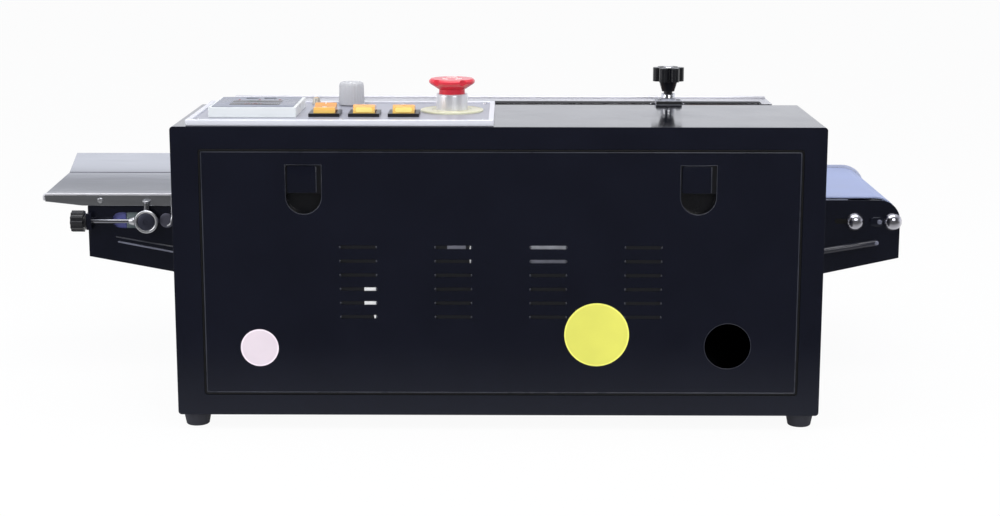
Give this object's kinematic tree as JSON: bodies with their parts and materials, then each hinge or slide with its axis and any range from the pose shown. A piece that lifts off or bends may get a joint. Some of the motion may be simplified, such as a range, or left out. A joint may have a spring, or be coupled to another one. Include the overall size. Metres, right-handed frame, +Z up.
{
  "type": "continuous band sealer",
  "caption": "Bench machine that seals the mouths of bags between two heated moving bands, with a belt conveyor below them, an infeed tray and a control panel.",
  "frame": {"origin": "middle of the machine's bounding box at the surface that it stands on", "axes": "+X along the bags' way through the machine, from the tray to the outfeed; +Y from the service face to the operator; +Z up"},
  "size_m": [0.8277, 0.404, 0.301],
  "materials": {
    "black_enamel": "gloss black baked enamel",
    "black_plastic": "black moulded plastic",
    "rubber": "matt grey-black rubber",
    "black_rubber": "matt black toothed belt",
    "silver_trim": "satin silver trim",
    "panel_grey": "satin grey panel",
    "white_plastic": "white moulded plastic",
    "grey_plastic": "grey moulded plastic",
    "amber_lens": "amber lens of a lit switch",
    "lamp_lens": "pale brown lens",
    "yellow_plastic": "yellow plastic",
    "red_plastic": "red plastic",
    "chrome": "polished",
    "steel": "turned steel",
    "stainless": "brushed stainless sheet",
    "aluminium": "machined",
    "grey_iron": "grey painted casting",
    "board_green": "green circuit board",
    "brass": "machined brass",
    "seal_band": "glass cloth coated brown",
    "belt_blue": "pale blue coated belt"
  },
  "bodies": {
    "machine": {"casing_shell": "black_enamel", "base_plate": "black_enamel", "front_wall": "black_enamel", "back_panel": "black_enamel", "finger_pulls": "black_plastic", "rubber_feet": "rubber", "support_arms": "black_enamel", "panel_frame": "silver_trim", "panel_plate": "panel_grey", "controller_case": "white_plastic", "switch_housings": "black_plastic", "speed_pot": "steel", "indicator_lamp": "lamp_lens", "estop_base": "yellow_plastic", "motor": "aluminium", "gearbox": "grey_iron", "transformer": "grey_iron", "circuit_board": "board_green", "fan_housing": "black_plastic", "head_plate": "aluminium", "shaft_bearings": "steel", "idler_axles": "steel", "drive_chain": "steel", "pressure_bracket": "black_enamel", "heater_blocks": "brass", "cooling_blocks": "aluminium", "seal_bands": "seal_band", "guide_belts": "black_rubber", "guards": "stainless"},
    "lower_drive": {"lower_shaft": "steel", "lower_drive_wheel": "aluminium"},
    "upper_drive": {"upper_shaft": "steel", "upper_drive_wheel": "aluminium"},
    "lower_idler_wheel": {"lower_idler": "aluminium"},
    "upper_idler_wheel": {"upper_idler": "aluminium"},
    "lower_press": {"lower_press_wheel": "steel"},
    "press_yoke": {"pressure_yoke": "steel"},
    "upper_press": {"upper_press_wheel": "steel"},
    "press_screw": {"pressure_screw": "black_plastic"},
    "hub": {"output_hub": "steel"},
    "fan": {"fan_rotor": "black_plastic"},
    "key_up": {"controller_key_up": "grey_plastic"},
    "key_down": {"controller_key_down": "grey_plastic"},
    "switch_1": {"rocker_1": "amber_lens"},
    "switch_2": {"rocker_2": "amber_lens"},
    "switch_3": {"rocker_3": "amber_lens"},
    "knob": {"speed_knob": "grey_plastic"},
    "estop_plunger": {"estop_stem": "chrome"},
    "estop_button": {"estop_head": "red_plastic"},
    "conveyor": {"near_side_plate": "black_enamel", "far_side_plate": "black_enamel", "conveyor_frame": "aluminium", "conveyor_belt": "belt_blue", "tray": "stainless"},
    "outfeed": {"outfeed_roller": "steel"},
    "infeed_axle": {"tension_axle": "chrome"},
    "infeed": {"infeed_roller": "steel"},
    "tension_near": {"tension_screw_near": "black_plastic"},
    "tension_far": {"tension_screw_far": "black_plastic"},
    "drum": {"drive_drum": "steel"}
  },
  "joints": [
    {"name": "main_drive", "type": "hinge", "parent": "machine", "child": "hub", "pos_m": [0.0861, -0.082, 0.118], "axis": [0, 1, 0], "continuous": true},
    {"name": "lower_drive_spin", "type": "hinge", "parent": "machine", "child": "lower_drive", "pos_m": [0.2511, -0.032, 0.185], "axis": [0, 1, 0], "continuous": true},
    {"name": "upper_drive_spin", "type": "hinge", "parent": "machine", "child": "upper_drive", "pos_m": [0.2511, -0.032, 0.235], "axis": [0, 1, 0], "continuous": true},
    {"name": "lower_idler_spin", "type": "hinge", "parent": "machine", "child": "lower_idler_wheel", "pos_m": [-0.1989, -0.032, 0.185], "axis": [0, 1, 0], "continuous": true},
    {"name": "upper_idler_spin", "type": "hinge", "parent": "machine", "child": "upper_idler_wheel", "pos_m": [-0.1989, -0.032, 0.235], "axis": [0, 1, 0], "continuous": true},
    {"name": "lower_press_spin", "type": "hinge", "parent": "machine", "child": "lower_press", "pos_m": [0.1844, -0.032, 0.1927], "axis": [0, 1, 0], "continuous": true},
    {"name": "press_lift", "type": "slide", "parent": "machine", "child": "press_yoke", "axis": [0, 0, 1], "range_m": [0, 0.00125]},
    {"name": "upper_press_spin", "type": "hinge", "parent": "press_yoke", "child": "upper_press", "pos_m": [0.1844, -0.032, 0.2273], "axis": [0, 1, 0], "continuous": true},
    {"name": "pressure_knob_turn", "type": "hinge", "parent": "press_yoke", "child": "press_screw", "pos_m": [0.1844, -0.0315, 0.28], "axis": [0, 0, 1], "range_deg": [0, 361]},
    {"name": "fan_spin", "type": "hinge", "parent": "machine", "child": "fan", "pos_m": [0.0861, -0.057, 0.205], "axis": [0, 1, 0], "continuous": true},
    {"name": "key_up_press", "type": "slide", "parent": "machine", "child": "key_up", "axis": [0, 0, 1], "range_m": [-0.0008, 0], "stiffness_N_per_m": 400},
    {"name": "key_down_press", "type": "slide", "parent": "machine", "child": "key_down", "axis": [0, 0, 1], "range_m": [-0.0008, 0], "stiffness_N_per_m": 400},
    {"name": "speed_knob_turn", "type": "hinge", "parent": "machine", "child": "knob", "pos_m": [-0.10882, -0.08, 0.28], "axis": [0, 0, 1], "range_deg": [-270, 0]},
    {"name": "estop_push", "type": "slide", "parent": "machine", "child": "estop_plunger", "axis": [0, 0, 1], "range_m": [-0.004, 0], "stiffness_N_per_m": 1500},
    {"name": "estop_twist", "type": "hinge", "parent": "estop_plunger", "child": "estop_button", "pos_m": [-0.01571, -0.123, 0.29], "axis": [0, 0, 1], "range_deg": [-45, 0], "stiffness_Nm_per_rad": 0.05},
    {"name": "conveyor_slide", "type": "slide", "parent": "machine", "child": "conveyor", "axis": [0, 1, 0], "range_m": [0, 0.025]},
    {"name": "outfeed_spin", "type": "hinge", "parent": "conveyor", "child": "outfeed", "pos_m": [0.3891, 0.088, 0.149], "axis": [0, 1, 0], "continuous": true},
    {"name": "drum_spin", "type": "hinge", "parent": "conveyor", "child": "drum", "pos_m": [0.0861, 0.088, 0.118], "axis": [0, 1, 0], "continuous": true},
    {"name": "tension_slide", "type": "slide", "parent": "conveyor", "child": "infeed_axle", "axis": [1, 0, 0], "range_m": [0, 0.0025]},
    {"name": "infeed_spin", "type": "hinge", "parent": "infeed_axle", "child": "infeed", "pos_m": [-0.3149, 0.088, 0.149], "axis": [0, 1, 0], "continuous": true},
    {"name": "tension_near_turn", "type": "hinge", "parent": "conveyor", "child": "tension_near", "pos_m": [-0.3539, -0.0085, 0.149], "axis": [1, 0, 0], "range_deg": [0, 901]},
    {"name": "tension_far_turn", "type": "hinge", "parent": "conveyor", "child": "tension_far", "pos_m": [-0.3539, 0.1915, 0.149], "axis": [1, 0, 0], "range_deg": [0, 901]},
    {"name": "rocker_1_press", "type": "hinge", "parent": "machine", "child": "switch_1", "pos_m": [-0.12562, -0.153, 0.274], "axis": [1, 0, 0], "range_deg": [-16, 0]},
    {"name": "rocker_2_press", "type": "hinge", "parent": "machine", "child": "switch_2", "pos_m": [-0.09112, -0.153, 0.274], "axis": [1, 0, 0], "range_deg": [0, 16]},
    {"name": "rocker_3_press", "type": "hinge", "parent": "machine", "child": "switch_3", "pos_m": [-0.05662, -0.153, 0.274], "axis": [1, 0, 0], "range_deg": [0, 16]}
  ],
  "couplings": [
    {"joint": "lower_drive_spin", "follows": "main_drive", "ratio": 0.8},
    {"joint": "upper_drive_spin", "follows": "main_drive", "ratio": -0.8},
    {"joint": "lower_idler_spin", "follows": "main_drive", "ratio": 0.8},
    {"joint": "upper_idler_spin", "follows": "main_drive", "ratio": -0.8},
    {"joint": "lower_press_spin", "follows": "main_drive", "ratio": 1.1926},
    {"joint": "upper_press_spin", "follows": "main_drive", "ratio": -1.1926},
    {"joint": "drum_spin", "follows": "main_drive", "ratio": 1},
    {"joint": "outfeed_spin", "follows": "main_drive", "ratio": 1},
    {"joint": "infeed_spin", "follows": "main_drive", "ratio": 1},
    {"joint": "pressure_knob_turn", "follows": "press_lift", "rad_per_m": 5026.5},
    {"joint": "tension_near_turn", "follows": "tension_slide", "rad_per_m": 6283.2},
    {"joint": "tension_far_turn", "follows": "tension_slide", "rad_per_m": 6283.2}
  ]
}
